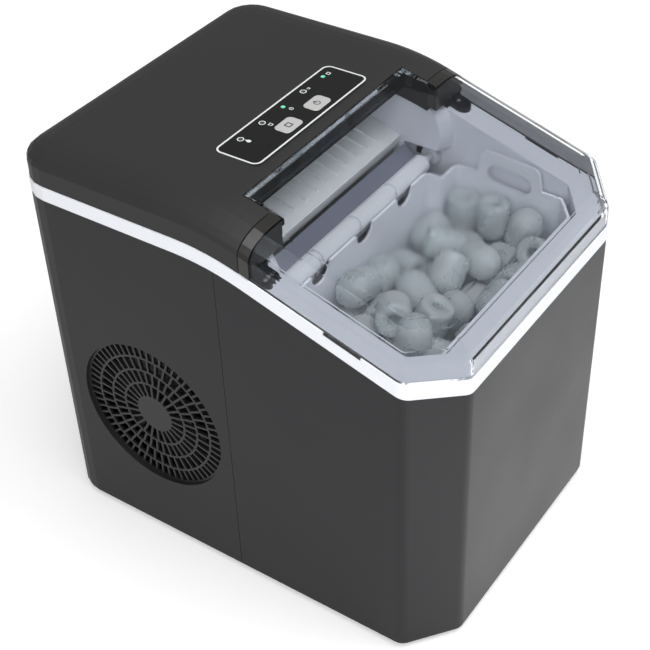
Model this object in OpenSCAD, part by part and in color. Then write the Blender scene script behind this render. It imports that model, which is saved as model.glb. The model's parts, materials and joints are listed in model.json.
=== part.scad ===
// Countertop bullet-ice maker: two-piece housing with chamfered front corners, a trim band that
// runs level round the back and slopes to the front, a clear hinged lid over a lift-out ice basket,
// and the freezing, water and refrigerant parts inside. Heights are measured from the table. Names
// that end in _d are depths from the front face, and those that end in _back from the rear face.

/* [Body] */
// Width of the housing
body_w = 222; // [214:1:250]
// Depth of the housing
body_d = 284.5; // [281:0.5:320]
// Height of the rubber feet
foot_h = 4; // [3:0.5:8]
// Height of the housing's level top edge above the feet
rim_h = 234.8; // [230:0.1:260]
// Wall of the housing mouldings
wall = 2.5; // [2:0.1:3]
// Width of each front corner chamfer
chamfer_w = 30.3; // [20:0.1:36]
// Depth of each front corner chamfer
chamfer_d = 23.7; // [18:0.1:28]
// Radius that softens the chamfer's edges
edge_r = 9; // [6:0.5:12]
// Radius of the rear corners
rear_r = 22; // [16:1:26]

/* [Rim line] */
// Angle at which the rim slopes down to the front
slope = 17.2; // [15:0.1:18.5]
// Distance from the rear face over which the rim is level
level_back = 116.5; // [112:0.5:120]
// Radius of the bend between slope and level
bend_r = 150; // [120:5:170]
// Height of the white trim band
band_h = 9.4; // [8:0.1:12]
// Thickness of the trim band's outer lip
band_t = 3.2; // [3:0.1:4]

/* [Cover and lid] */
// Upright part of the cover's and lid's side
skirt_h = 11.5; // [11:0.1:14]
// Width of the rolled edge of the cover and lid
roll_w = 22; // [18:0.5:24]
// Height of the rolled edge
roll_h = 10; // [8:0.5:11]
// Wall of the cover and the clear lid
skin = 2.2; // [1.8:0.1:2.6]
// Step of the cover and lid inside the band
inset_step = 0.6; // [0.4:0.1:1]
// Margin between the housing's side and the lid's rear tongue
tongue_inset = 31.4; // [29:0.1:34]
// Distance of the lid's rear edge from the rear face
lid_back = 143; // [141.5:0.5:144.5]
// Distance of the lid's hinge axis in front of its rear edge
pivot_ahead = 7; // [6:0.5:8]
// Distance of the hinge ears' front in front of the hinge axis
ear_ahead = 17; // [16:0.1:18]
// Radius of the hinge pins
pin_r = 2.5; // [2:0.1:3]
// Radial clearance of every running fit
fit = 0.05; // [0.03:0.01:0.09]

/* [Control panel] */
// Distance of the button row behind the lid's rear edge
button_behind = 18.1; // [16:0.1:20]
// Width of a button cap
button_w = 16; // [12:0.5:18]
// Depth of a button cap
button_l = 11; // [9:0.5:12]
// Distance between the buttons
button_pitch = 28.4; // [24:0.2:32]
// Travel of a button
button_travel = 0.8; // [0.5:0.1:1.2]
// Distance of the lamp row behind the button row
lamp_behind = 14.4; // [12:0.1:16]
// Distance between the lamps
lamp_pitch = 20.4; // [16:0.2:24]
// Radius of a lamp
lamp_r = 1.5; // [1:0.1:2]

/* [Vents and fan] */
// Radius of each round side vent
vent_r = 52.5; // [48:0.5:54]
// Height of the vents above the feet
vent_h = 98; // [94:1:104]
// Distance of the vents' centre from the rear face
vent_back = 82.5; // [78:0.5:86]
// Distance between a vent and the seam of the two housings
vent_gap = 7.8; // [5:0.1:10]
// Radius of the vent's centre disc
vent_hub_r = 13.2; // [10:0.2:16]
// Width of the vent's rings and bars
vent_bar = 1.5; // [1.2:0.1:2]
// Radius of the fan
fan_r = 41; // [36:1:43]

/* [Tub and basket] */
// Margin between the housing's side and the tub's mouth
tub_inset = 19; // [17:0.5:21]
// Wall of the tub
tub_wall = 2.2; // [1.8:0.1:2.6]
// Height of the tub's floor above the table
tub_floor = 46; // [40:1:52]
// Distance of the deep water tank's end from the rear face
tank_back = 136.5; // [135:0.5:138]
// Distance of the freezing chamber's end from the rear face
chamber_back = 104.5; // [102:0.5:106]
// Margin between the housing's side and the freezing chamber
chamber_inset = 28; // [26:0.5:29]
// Height of the freezing chamber's floor
chamber_floor = 154; // [152:1:158]
// Height of the basket's underside
basket_z = 98; // [94:1:104]
// Height of the basket's level rim
basket_rim = 205; // [200:1:206]
// Wall of the basket
basket_wall = 1.8; // [1.5:0.1:2.4]
// Gap between the basket and the tub
basket_gap = 3; // [2:0.25:4]
// Gap between the basket and the paddles
paddle_clear = 0.9; // [0.6:0.1:1.4]

/* [Freezing chamber] */
// Distance of the paddle shaft from the rear face
pusher_back = 158; // [157:0.1:159]
// Height of the paddle shaft
pusher_z = 204.7; // [203:0.1:206]
// Radius of the round paddle heads
pusher_r = 6; // [5:0.1:6.2]
// Number of paddles
pusher_n = 4; // [3:1:5]
// Distance of the water tray's axis behind the paddle shaft
tray_behind = 31.5; // [31:0.1:32.5]
// Height of the water tray's axis
tray_z = 190; // [188:0.5:191]
// Inside radius of the water tray
tray_r = 19; // [18:0.25:19.5]
// Number of freezing fingers
finger_n = 9; // [7:1:10]

/* [Refrigeration] */
// Radius of the compressor shell
comp_r = 44; // [38:1:45]
// Height of the compressor shell
comp_h = 104; // [90:1:110]
// Radius of the refrigerant pipes
pipe_r = 3; // [2.4:0.1:3.4]

/* [Hidden] */
$fn = 64;

big = 600;
sliver = 0.01;
seat_gap = 0.3;
front_y = -body_d / 2;
base_t = 2.4;
base_z = foot_h;
rim_z = foot_h + rim_h;
deck_drop = 0.3;
deck_t = 2.3;
deck_top = band_h - deck_drop;
roof_dz = band_h + skirt_h + roll_h;
lid_gap = 0.4;
min_r = 4;
arc_n = 5;
bend_n = 6;

// Depth from the front face, or distance from the rear face, as a Y coordinate.
function fy(d) = front_y + d;
function by(back) = body_d / 2 - back;

// Height of the housing's top edge at Y: level behind, a round bend, then a straight slope.
level_y = by(level_back);
bend_y = level_y - bend_r * sin(slope);
function rim(y) = y >= level_y ? rim_z
    : y >= bend_y ? rim_z - bend_r + sqrt(pow(bend_r, 2) - pow(level_y - y, 2))
    : rim_z - bend_r * (1 - cos(slope)) - (bend_y - y) * tan(slope);
bend_stations = [for (i = [0 : bend_n]) bend_y + (level_y - bend_y) * i / bend_n];

// Plan outline: the right half runs from the front chamfer to the rear corner, each corner an arc.
plan_corners = [
    [0, front_y], [body_w / 2 - chamfer_w, front_y], [body_w / 2, front_y + chamfer_d],
    [body_w / 2, body_d / 2], [0, body_d / 2]];
plan_radii = [0, edge_r, edge_r, rear_r, 0];
function unit(v) = v / norm(v);
function left_of(v) = [-v[1], v[0]];
function corner_arc(k, inset) =
    let (n1 = left_of(unit(plan_corners[k] - plan_corners[k - 1])),
         n2 = left_of(unit(plan_corners[k + 1] - plan_corners[k])),
         r = max(plan_radii[k], inset + min_r),
         centre = plan_corners[k] + r * (n1 + n2) / (1 + n1 * n2),
         start = atan2(-n1[1], -n1[0]),
         turn = acos(n1 * n2))
    [for (i = [0 : arc_n]) centre + (r - inset) * [cos(start + turn * i / arc_n), sin(start + turn * i / arc_n)]];
function half_outline(inset) = concat(
    corner_arc(1, inset), corner_arc(2, inset),
    [for (y = bend_stations) [body_w / 2 - inset, y]],
    corner_arc(3, inset));
function mirrored(points) = [for (i = [len(points) - 1 : -1 : 0]) [-points[i][0], points[i][1]]];
function outline(inset) = concat(half_outline(inset), mirrored(half_outline(inset)));

module plan(inset) {
    polygon(outline(inset));
}

module upright(low, high) {
    translate([0, 0, low])
        linear_extrude(high - low)
            children();
}

// Extrudes a Y-Z shape along X between two X values.
module along_x(x1, x2) {
    translate([x1, 0, 0])
        rotate([90, 0, 90])
            linear_extrude(x2 - x1)
                children();
}

module rod_x(x1, x2, y, z, r) {
    translate([x1, y, z])
        rotate([0, 90, 0])
            cylinder(h = x2 - x1, r = r);
}

// Block between two corners.
module block(low, high) {
    translate(low)
        cube(high - low);
}

// The space between two offsets of the rim line, over the whole width.
function rim_line(dz) = [for (y = concat([-big], bend_stations, [big])) [y, rim(y) + dz]];
module rim_slab(low, high) {
    low_line = rim_line(low);
    high_line = rim_line(high);
    along_x(-big, big)
        polygon(concat(low_line, [for (i = [len(high_line) - 1 : -1 : 0]) high_line[i]]));
}

// Solid whose levels are plan outlines, each with its own inset, riding on the rim line.
module roof_loft(levels) {
    half = len(half_outline(0));
    count = 2 * half;
    points = [for (level = levels) for (p = outline(level[0])) [p[0], p[1], rim(p[1]) + level[1]]];
    top = (len(levels) - 1) * count;
    sides = [for (k = [0 : len(levels) - 2]) for (i = [0 : count - 1])
        let (a = k * count + i, b = k * count + (i + 1) % count)
        [a, a + count, b + count, b]];
    bottom_strips = [for (i = [0 : half - 2]) [i, i + 1, count - 2 - i, count - 1 - i]];
    top_strips = [for (s = bottom_strips) [for (j = [3 : -1 : 0]) top + s[j]]];
    polyhedron(points, concat(sides, bottom_strips, top_strips), convexity = 6);
}

// Levels of the rolled roof surface, at a depth t under the outer skin.
roll_n = 5;
function roof_levels(t, low) = concat(
    [[inset_step + t, low]],
    [for (i = [0 : roll_n])
        [inset_step + t + (roll_w - t) * (1 - cos(90 * i / roll_n)),
         band_h + skirt_h + (roll_h - t) * sin(90 * i / roll_n)]]);

// ---- Housing ----

flange_t = 2;
housing_z = base_z + flange_t;
lap = 4;
lap_t = 1.6;
vent_y = by(vent_back);
seam_y = by(vent_back + vent_r + vent_gap);
vent_z = foot_h + vent_h;
side_x = body_w / 2 - wall;
inlet_w = 27;
inlet_x = body_w / 2 - rear_r - inlet_w;
inlet_z = foot_h + 30;
inlet_h = 20;
drain_d = 60;
plug_r = 9;
drain_y = fy(drain_d);
drain_z = tub_floor + plug_r - 2;

module housing_ring(inset1, inset2) {
    difference() {
        upright(housing_z, rim_z + band_h)
            difference() {
                plan(inset1);
                plan(inset2);
            }
        rim_slab(0, big);
    }
}

module front_housing() {
    color("#3c3d40") {
        difference() {
            housing_ring(0, wall);
            block([-big, seam_y - seat_gap / 2, 0], [big, big, big]);
            rod_x(0, big, drain_y, drain_z, plug_r + seat_gap);
        }
        intersection() {
            housing_ring(wall, wall + lap_t);
            block([-big, seam_y - lap, 0], [big, seam_y + lap, big]);
        }
    }
}

module rear_housing() {
    color("#3a3b3e")
        difference() {
            housing_ring(0, wall);
            block([-big, -big, 0], [big, seam_y + seat_gap / 2, big]);
            rod_x(-big, big, vent_y, vent_z, vent_r);
            block([inlet_x - inlet_w / 2, 0, inlet_z - inlet_h / 2],
                  [inlet_x + inlet_w / 2, big, inlet_z + inlet_h / 2]);
        }
}

foot_r = 9;
foot_inset = 24;
foot_spots = [for (x = [-1, 1], y = [-1, 1])
    [x * (body_w / 2 - foot_inset - chamfer_w / 4), y * (body_d / 2 - foot_inset)]];

module feet() {
    color("#1c1c1d")
        for (p = foot_spots)
            translate([p[0], p[1], 0])
                rotate_extrude()
                    polygon([[0, 0], [foot_r - 1, 0], [foot_r, 1], [foot_r - 1, foot_h], [0, foot_h]]);
}

mount_rail_h = 3;
comp_rear_gap = 12;
comp_side_gap = 22;
comp_y = body_d / 2 - wall - comp_r - comp_rear_gap;
comp_x = body_w / 2 - wall - comp_r - comp_side_gap;
mount_spots = [for (a = [45 : 90 : 315]) [comp_x + (comp_r + 2) * cos(a), comp_y + (comp_r + 2) * sin(a)]];
rail_h = 9;

module base_tray() {
    color("#262729") {
        upright(base_z, base_z + flange_t)
            plan(inset_step);
        upright(base_z + flange_t - sliver, base_z + flange_t + rail_h)
            difference() {
                plan(wall + lap_t + seat_gap);
                plan(wall + lap_t + seat_gap + base_t);
            }
        for (p = mount_spots)
            translate([p[0], p[1], base_z + flange_t - sliver])
                cylinder(h = mount_rail_h, r = 8);
    }
}

inlet_t = 2;
module cord_inlet() {
    color("#1d1e20")
        difference() {
            union() {
                block([inlet_x - inlet_w / 2 + seat_gap, body_d / 2 - wall - 12, inlet_z - inlet_h / 2 + seat_gap],
                      [inlet_x + inlet_w / 2 - seat_gap, body_d / 2 - 0.5, inlet_z + inlet_h / 2 - seat_gap]);
                block([inlet_x - inlet_w / 2 - 3, body_d / 2 - wall - inlet_t, inlet_z - inlet_h / 2 - 3],
                      [inlet_x + inlet_w / 2 + 3, body_d / 2 - wall, inlet_z + inlet_h / 2 + 3]);
            }
            translate([inlet_x, body_d / 2 - wall - 16, inlet_z])
                rotate([-90, 0, 0])
                    cylinder(h = 30, r = 4);
            block([inlet_x - inlet_w / 2 + inlet_t, body_d / 2 - wall - 8, inlet_z - inlet_h / 2 + inlet_t],
                  [inlet_x + inlet_w / 2 - inlet_t, body_d, inlet_z + inlet_h / 2 - inlet_t]);
        }
}

// ---- Trim band ----

grip_d1 = 48.5;
grip_d2 = 71.5;
grip_h = 1.6;
ledge_w = 7;

module trim_band() {
    color("#f2f3f4")
        difference() {
            intersection() {
                upright(0, big)
                    difference() {
                        plan(0);
                        plan(ledge_w);
                    }
                rim_slab(0, band_h);
            }
            intersection() {
                upright(0, big)
                    plan(band_t);
                rim_slab(deck_top - deck_t, big);
            }
            intersection() {
                block([-big, fy(grip_d1), 0], [big, fy(grip_d2), big]);
                rim_slab(band_h - grip_h, big);
            }
        }
}

// ---- Top cover ----

cheek_gap = 0.6;
ear_l = 6.4;
tongue_x = body_w / 2 - tongue_inset;
cheek_x = tongue_x + cheek_gap;
lid_rear_y = by(lid_back);
pivot_y = lid_rear_y - pivot_ahead;
ear_front_y = pivot_y - ear_ahead;
ear_rear_y = ear_front_y + ear_l;
cheek_y = ear_rear_y + cheek_gap;
cover_y = lid_rear_y + 1;
pivot_z = rim(pivot_y) + roof_dz - 5.5;
sweep_r = norm([lid_rear_y - pivot_y, rim(lid_rear_y) + roof_dz - pivot_z]) + 0.5;
fascia_t = sweep_r - (cover_y - pivot_y) + skin;
fascia_bottom = pivot_z - 5;
button_y = lid_rear_y + button_behind;
lamp_y = button_y + lamp_behind;
button_xs = [-button_pitch / 2 + 1.5, button_pitch / 2 + 1.5];
lamp_xs = [for (i = [-2 : 2]) i * lamp_pitch + 2];
roof_z = rim_z + roof_dz;
button_gap = 0.3;

module cover_region(t, front_t) {
    polygon([
        [-big, cheek_y + t], [-cheek_x - t, cheek_y + t], [-cheek_x - t, cover_y + front_t],
        [cheek_x + t, cover_y + front_t], [cheek_x + t, cheek_y + t], [big, cheek_y + t],
        [big, big], [-big, big]]);
}

module rounded_pad(w, l, r) {
    hull()
        for (x = [-1, 1], y = [-1, 1])
            translate([x * (w / 2 - r), y * (l / 2 - r)])
                circle(r, $fn = 24);
}

module top_cover() {
    color("#3b3c3e")
        difference() {
            intersection() {
                roof_loft(roof_levels(0, band_h));
                upright(0, big)
                    cover_region(0, 0);
            }
            intersection() {
                roof_loft(roof_levels(skin, band_h - 5));
                upright(0, big)
                    cover_region(skin, fascia_t);
            }
            block([-cheek_x, -big, 0], [cheek_x, cover_y + fascia_t + sliver, fascia_bottom]);
            rod_x(-cheek_x, cheek_x, pivot_y, pivot_z, sweep_r);
            rod_x(-cheek_x - 2 * skin, cheek_x + 2 * skin, pivot_y, pivot_z, pin_r);
            for (x = button_xs)
                translate([x, button_y, roof_z - 2 * skin])
                    linear_extrude(big)
                        rounded_pad(button_w + 2 * button_gap, button_l + 2 * button_gap, 3.3);
            for (x = lamp_xs)
                translate([x, lamp_y, roof_z - 2 * skin])
                    cylinder(h = big, r = lamp_r);
        }
}

cap_rise = 0.5;
cap_flange = 1.4;
board_z = roof_z - 15;
board_t = 1.6;
switch_h = board_z + board_t + 5;

cap_lip = 2;
cap_z = rim(button_y - button_l / 2 - cap_lip) + roof_dz - skin - button_gap;
stem_z = switch_h + button_travel + 0.2;

module button(x) {
    translate([x, button_y, 0]) {
        translate([0, 0, cap_z - cap_flange])
            linear_extrude(rim(button_y) + roof_dz + cap_rise - cap_z + cap_flange)
                rounded_pad(button_w, button_l, 3);
        translate([0, 0, cap_z - cap_flange])
            linear_extrude(cap_flange)
                rounded_pad(button_w + 2 * cap_lip, button_l + 2 * cap_lip, 4);
        translate([0, 0, stem_z])
            cylinder(h = cap_z - cap_flange + sliver - stem_z, r = 2.4);
    }
}

module button_left() {
    color("#b9b8b3")
        button(button_xs[0]);
}

module button_right() {
    color("#b9b8b3")
        button(button_xs[1]);
}

module lamp_lenses() {
    color("#8fe8bd")
        for (x = lamp_xs)
            translate([x, lamp_y, board_z + board_t])
                cylinder(h = roof_z - board_z - board_t + 0.2, r = lamp_r - 0.2);
}

board_w = 116;
board_l = 34;
module control_board() {
    board_y = (button_y + lamp_y) / 2;
    color("#2c6b45")
        block([-board_w / 2, board_y - board_l / 2, board_z], [board_w / 2, board_y + board_l / 2, board_z + board_t]);
    color("#202124") {
        for (x = button_xs) {
            block([x - 3, button_y - 3, board_z + board_t - sliver], [x + 3, button_y + 3, switch_h - 1.4]);
            translate([x, button_y, switch_h - 1.5])
                cylinder(h = 1.5, r = 1.7);
        }
        intersection() {
            rim_slab(-big, roof_dz - skin);
            for (x = [-1, 1], y = [-1, 1])
                translate([x * (board_w / 2 - 5), board_y + y * (board_l / 2 - 5), board_z + board_t - sliver])
                    cylinder(h = 2 * skin + roof_z - board_z, r = 3);
        }
    }
}

// ---- Lid and hinge ----

lid_low = band_h + lid_gap;
tongue_bottom = pivot_z - 5;

module lid_region(t) {
    polygon([
        [-big, -big], [big, -big], [big, ear_front_y],
        [tongue_x - t, ear_front_y], [tongue_x - t, lid_rear_y - t],
        [t - tongue_x, lid_rear_y - t], [t - tongue_x, ear_front_y], [-big, ear_front_y]]);
}

module lid() {
    color("#9aa3b0", 0.35)
        difference() {
            intersection() {
                roof_loft(roof_levels(0, lid_low));
                upright(0, big)
                    lid_region(0);
            }
            intersection() {
                roof_loft(roof_levels(skin, lid_low - 5));
                upright(0, big)
                    lid_region(skin);
            }
            block([-tongue_x - 1, ear_front_y - 4, 0], [tongue_x + 1, big, tongue_bottom]);
            rod_x(-big, big, pivot_y, pivot_z, pin_r + fit);
        }
}

module arm_region(t) {
    translate([tongue_x + t, ear_front_y + t])
        square([big, ear_l - 2 * t]);
}

bracket_t = 3;
module hinge_arm() {
    difference() {
        intersection() {
            roof_loft(roof_levels(0, lid_low));
            upright(0, big)
                arm_region(0);
        }
        intersection() {
            roof_loft(roof_levels(skin, lid_low - 5));
            upright(0, big)
                arm_region(skin);
        }
        intersection() {
            upright(0, big)
                plan(inset_step + skin);
            rim_slab(0, lid_low + bracket_t + 1);
        }
    }
}

module hinge_arm_left() {
    color("#17181a")
        mirror([1, 0, 0])
            hinge_arm();
}

module hinge_arm_right() {
    color("#17181a")
        hinge_arm();
}

pin_in = 2 * skin;
module hinge_pins() {
    color("#b4b6b9") {
        rod_x(tongue_x - pin_in, cheek_x + skin + 1, pivot_y, pivot_z, pin_r);
        rod_x(-cheek_x - skin - 1, pin_in - tongue_x, pivot_y, pivot_z, pin_r);
    }
}

bracket_w = 11.6;
lug_reach = 10.9;
lug_screw_r = 1.6;

// Plate on the deck under an ear. Its front end has one or more round lugs, each with a screw hole.
module hinge_bracket(lugs) {
    lug_r = bracket_w / 2 / lugs;
    x2 = body_w / 2 - band_t - seat_gap;
    y1 = ear_front_y - lug_reach + lug_r;
    difference() {
        intersection() {
            upright(0, big) {
                for (i = [0 : lugs - 1])
                    translate([x2 - (2 * i + 1) * lug_r, y1])
                        circle(lug_r);
                translate([x2 - bracket_w, y1])
                    square([bracket_w, cheek_y - y1]);
                translate([x2 - bracket_w - 3, ear_front_y])
                    square([bracket_w + 3, cheek_y - ear_front_y]);
            }
            rim_slab(deck_top, deck_top + bracket_t);
        }
        for (i = [0 : lugs - 1])
            translate([x2 - (2 * i + 1) * lug_r, y1 + 0.4 * lug_r, 0])
                cylinder(h = big, r = lug_screw_r);
    }
}

module hinge_bracket_left() {
    color("#141517")
        mirror([1, 0, 0])
            hinge_bracket(2);
}

module hinge_bracket_right() {
    color("#141517")
        hinge_bracket(1);
}

// ---- Vent grilles ----

grille_t = 2;
grille_rim = 3;
vent_rings = 3;
vent_cells = [24, 36, 40, 60];

module grille_face() {
    pitch = (vent_r - vent_hub_r) / (vent_rings + 1);
    difference() {
        circle(vent_r + grille_rim, $fn = 96);
        difference() {
            circle(vent_r - vent_bar, $fn = 96);
            circle(vent_hub_r, $fn = 48);
            for (k = [1 : vent_rings])
                difference() {
                    circle(vent_hub_r + k * pitch + vent_bar / 2, $fn = 96);
                    circle(vent_hub_r + k * pitch - vent_bar / 2, $fn = 96);
                }
            for (k = [0 : vent_rings], i = [0 : vent_cells[k] - 1])
                rotate(360 * i / vent_cells[k] + 4 * k)
                    translate([vent_hub_r + k * pitch - vent_bar / 4, -vent_bar / 2])
                        square([pitch, vent_bar]);
        }
    }
}

module vent_grille(side) {
    translate([side * side_x, vent_y, vent_z])
        rotate([90, 0, 90])
            translate([0, 0, side > 0 ? -grille_t : 0])
                linear_extrude(grille_t)
                    grille_face();
}

module vent_grille_left() {
    color("#303236")
        vent_grille(-1);
}

module vent_grille_right() {
    color("#303236")
        vent_grille(1);
}

// ---- Tub, basket and ice ----

mouth_x = body_w / 2 - tub_inset;
chamber_x = body_w / 2 - chamber_inset;
boss_out = 4;
boss_r = 6.3;
flare_r = 25.4;
flare_step = 5.6;
flare_back = 142.5;
flare_z = 223;
flare_bottom = 213.5;
rail_w = 5;
rail_t = 4;
pusher_y = by(pusher_back);
tray_y = pusher_y + tray_behind;
tube_y = tray_y - 3;
tube_z = 202;
tube_r = 4.5;
shaft_r = 3;
pusher_shaft_r = 2.5;

// One cheek that narrows the tub to the freezing chamber's width, its faces drawn back by t.
// Its upper front edge is a flared quarter of a cone.
module chamber_cheek(t) {
    flare_y = by(flare_back);
    along_x(chamber_x + t, big)
        polygon([
            [flare_y + t, chamber_floor + t], [by(tank_back) + t, chamber_floor + t],
            [by(tank_back) + t, -big], [big, -big], [big, big], [flare_y + t, big]]);
    intersection() {
        translate([chamber_x + t, flare_y + t, flare_z])
            rotate([0, 90, 0])
                cylinder(h = mouth_x + tub_wall - chamber_x, r1 = flare_r - t, r2 = flare_r - t + flare_step);
        block([0, -big, flare_bottom + t], [big, flare_y + t + sliver, big]);
    }
}

// The tub's hollow, grown by t: a deep tank in front and a shallow freezing chamber behind.
module tub_hollow(t) {
    difference() {
        intersection() {
            upright(0, big)
                plan(tub_inset - t);
            along_x(-big, big)
                polygon([
                    [-big, tub_floor - t], [by(tank_back) + t, tub_floor - t],
                    [by(tank_back) + t, chamber_floor - t], [by(chamber_back) + t, chamber_floor - t],
                    [by(chamber_back) + t, big], [-big, big]]);
        }
        chamber_cheek(t);
        mirror([1, 0, 0])
            chamber_cheek(t);
    }
}

module liner() {
    spout_r = 7;
    bore_r = 4.5;
    color("#d5d8de")
        difference() {
            union() {
                difference() {
                    intersection() {
                        union() {
                            tub_hollow(tub_wall);
                            intersection() {
                                upright(0, big)
                                    plan(band_t + seat_gap / 2);
                                rim_slab(deck_top - deck_t, deck_top);
                                block([-big, -big, 0], [big, by(chamber_back) + tub_wall, big]);
                            }
                        }
                        rim_slab(-big, deck_top);
                    }
                    tub_hollow(0);
                }
                for (side = [-1, 1]) {
                    rod_x(side > 0 ? mouth_x - boss_out : -mouth_x - sliver, side > 0 ? mouth_x + sliver : -mouth_x + boss_out,
                          pusher_y, pusher_z, boss_r);
                    block([side > 0 ? mouth_x - rail_w : -mouth_x - sliver, fy(40), basket_z - seat_gap - rail_t],
                          [side > 0 ? mouth_x + sliver : -mouth_x + rail_w, by(tank_back) - 20, basket_z - seat_gap]);
                }
                rod_x(mouth_x + tub_wall - sliver, body_w / 2 - 4, drain_y, drain_z, spout_r);
            }
            rod_x(mouth_x - 1, big, drain_y, drain_z, bore_r);
            rod_x(-mouth_x - 4, mouth_x + 4, pusher_y, pusher_z, pusher_shaft_r + fit);
            rod_x(-chamber_x - 4, chamber_x + 4, tray_y, tray_z, shaft_r + fit);
            rod_x(-chamber_x - 4, chamber_x + 4, tube_y, tube_z, tube_r + 0.2);
        }
}

basket_x = mouth_x - basket_gap;
basket_rear_y = pusher_y - pusher_r - paddle_clear;
basket_cut_x = 18;
basket_cut_y = 11.5;
basket_cut_r = 5;
handle_d1 = 46.5;
handle_d2 = 93;
handle_top = 222;
handle_r = 6;
handle_hole_w = 30;
handle_hole_h = 12;
floor_slots = 7;

// Plan of the basket, drawn in by t. Its rear corners are cut off to clear the chamber's cheeks.
module basket_plan(t) {
    x = basket_x - t;
    y = basket_rear_y - t;
    cut_x = x - basket_cut_x;
    cut_y = y - basket_cut_y;
    intersection() {
        plan(tub_inset + basket_gap + t);
        offset(basket_cut_r - t, $fn = 32)
            offset(delta = t - basket_cut_r)
                polygon([
                    [-x, -big], [x, -big], [x, cut_y], [cut_x, cut_y], [cut_x, y],
                    [-cut_x, y], [-cut_x, cut_y], [-x, cut_y]]);
    }
}

// Handle tab: a rounded trapezoid in the Y-Z plane, a little lower in front.
module handle_shape() {
    hull()
        for (p = [[handle_d1 + handle_r, basket_rim - 8], [handle_d2 - handle_r, basket_rim - 8],
                  [handle_d1 + handle_r + 3, handle_top - handle_r - 2], [handle_d2 - handle_r - 2, handle_top - handle_r]])
            translate([fy(p[0]), p[1]])
                circle(handle_r, $fn = 32);
}

module handle_hole() {
    hull()
        for (s = [-1, 1])
            translate([fy((handle_d1 + handle_d2) / 2) + s * (handle_hole_w - handle_hole_h) / 2, basket_rim + 1.5 + s])
                circle(handle_hole_h / 2, $fn = 32);
}

module ice_basket() {
    slot_pitch = (2 * basket_x - 40) / floor_slots;
    color("#e9ecf0")
        difference() {
            union() {
                difference() {
                    upright(basket_z, basket_rim)
                        basket_plan(0);
                    upright(basket_z + basket_wall, big)
                        basket_plan(basket_wall);
                }
                along_x(basket_x - basket_wall, basket_x)
                    handle_shape();
            }
            along_x(basket_x - 2 * basket_wall, basket_x + 1)
                handle_hole();
            for (i = [0 : floor_slots - 1], k = [0, 1])
                translate([-basket_x + 20 + (i + 0.5) * slot_pitch, fy(50 + 40 * k), basket_z - 1])
                    linear_extrude(basket_wall + 2)
                        square([3, 24], center = true);
            for (s = [-1 : 1])
                translate([s * basket_x / 2, basket_rear_y, basket_rim])
                    rotate([90, 0, 0])
                        cylinder(h = 4 * basket_wall, r = 9, center = true);
        }
}

ice_r = 11;
ice_len = 14;
ice_top = 172;
ice_rows = 4;
ice_columns = 6;
module bullet() {
    cylinder(h = ice_len, r = ice_r, $fn = 32);
    translate([0, 0, ice_len])
        sphere(ice_r, $fn = 32);
}

module ice_load() {
    tilt = rands(-35, 35, 2 * ice_rows * ice_columns, 7);
    inner = basket_wall + seat_gap;
    pitch_x = (2 * (basket_x - inner) - 2 * ice_r - 4) / (ice_columns - 1);
    pitch_y = (basket_rear_y - fy(tub_inset + basket_gap) - 2 * inner - 2 * ice_r - 4) / (ice_rows - 1);
    color("#dfe7ec", 0.8) {
        upright(basket_z + basket_wall + seat_gap, ice_top)
            basket_plan(inner);
        intersection() {
            upright(ice_top - ice_r, basket_rim)
                basket_plan(inner);
            for (i = [0 : ice_columns - 1], j = [0 : ice_rows - 1])
                let (k = i * ice_rows + j)
                translate([-basket_x + inner + ice_r + 2 + i * pitch_x,
                           fy(tub_inset + basket_gap) + inner + ice_r + 2 + j * pitch_y, ice_top - 6])
                    rotate([tilt[2 * k], tilt[2 * k + 1], 0])
                        bullet();
        }
    }
}

// ---- Freezing chamber ----

hood_ahead = 13.7;
hood_z = 217.3;
hood_t = 2;
hood_lip = 8;
hood_ribs = 13;
hood_rib_pitch = 10.8;
hood_rib_start = 7.5;
hood_slope = 16.7;
hood_x = chamber_x - seat_gap;

module evaporator_hood() {
    hood_len = by(chamber_back) - tray_y + hood_ahead - seat_gap;
    color("#dde2ea")
        translate([0, tray_y - hood_ahead, hood_z])
            rotate([hood_slope, 0, 0]) {
                translate([-hood_x, 0, -hood_t])
                    cube([2 * hood_x, hood_len, hood_t]);
                translate([-hood_x, 0, -hood_lip])
                    cube([2 * hood_x, hood_t, hood_lip]);
                for (i = [0 : hood_ribs - 1])
                    translate([(i - (hood_ribs - 1) / 2) * hood_rib_pitch - 1, hood_rib_start, -sliver])
                        cube([2, hood_len - hood_rib_start - 2, 1.6]);
            }
}

finger_r = 4;
finger_len = 24;
tube_x = chamber_x + tub_wall + 4;
module evaporator() {
    span = 2 * (chamber_x - 11);
    color("#b8bcc2") {
        rod_x(-tube_x, tube_x, tube_y, tube_z, tube_r);
        for (i = [0 : finger_n - 1])
            translate([-span / 2 + i * span / (finger_n - 1), tube_y, tube_z - finger_len]) {
                sphere(finger_r, $fn = 32);
                cylinder(h = finger_len, r = finger_r);
            }
    }
}

tray_wall = 1.8;
tray_end = 2;
tray_x = chamber_x - 1.5;
module water_tray() {
    y = tray_y;
    color("#cfd6de")
        union() {
            difference() {
                rod_x(-tray_x, tray_x, y, tray_z, tray_r + tray_wall);
                rod_x(-tray_x + tray_end, tray_x - tray_end, y, tray_z, tray_r);
                block([-big, -big, tray_z], [big, big, big]);
            }
            for (side = [-1, 1])
                rod_x(side > 0 ? tray_x - tray_end : -tray_x, side > 0 ? tray_x : -tray_x + tray_end, y, tray_z, 6);
            rod_x(tray_x - sliver, chamber_x + tub_wall + 2, y, tray_z, shaft_r);
            rod_x(-chamber_x - tub_wall - 4, -tray_x + sliver, y, tray_z, shaft_r);
        }
}

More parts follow.
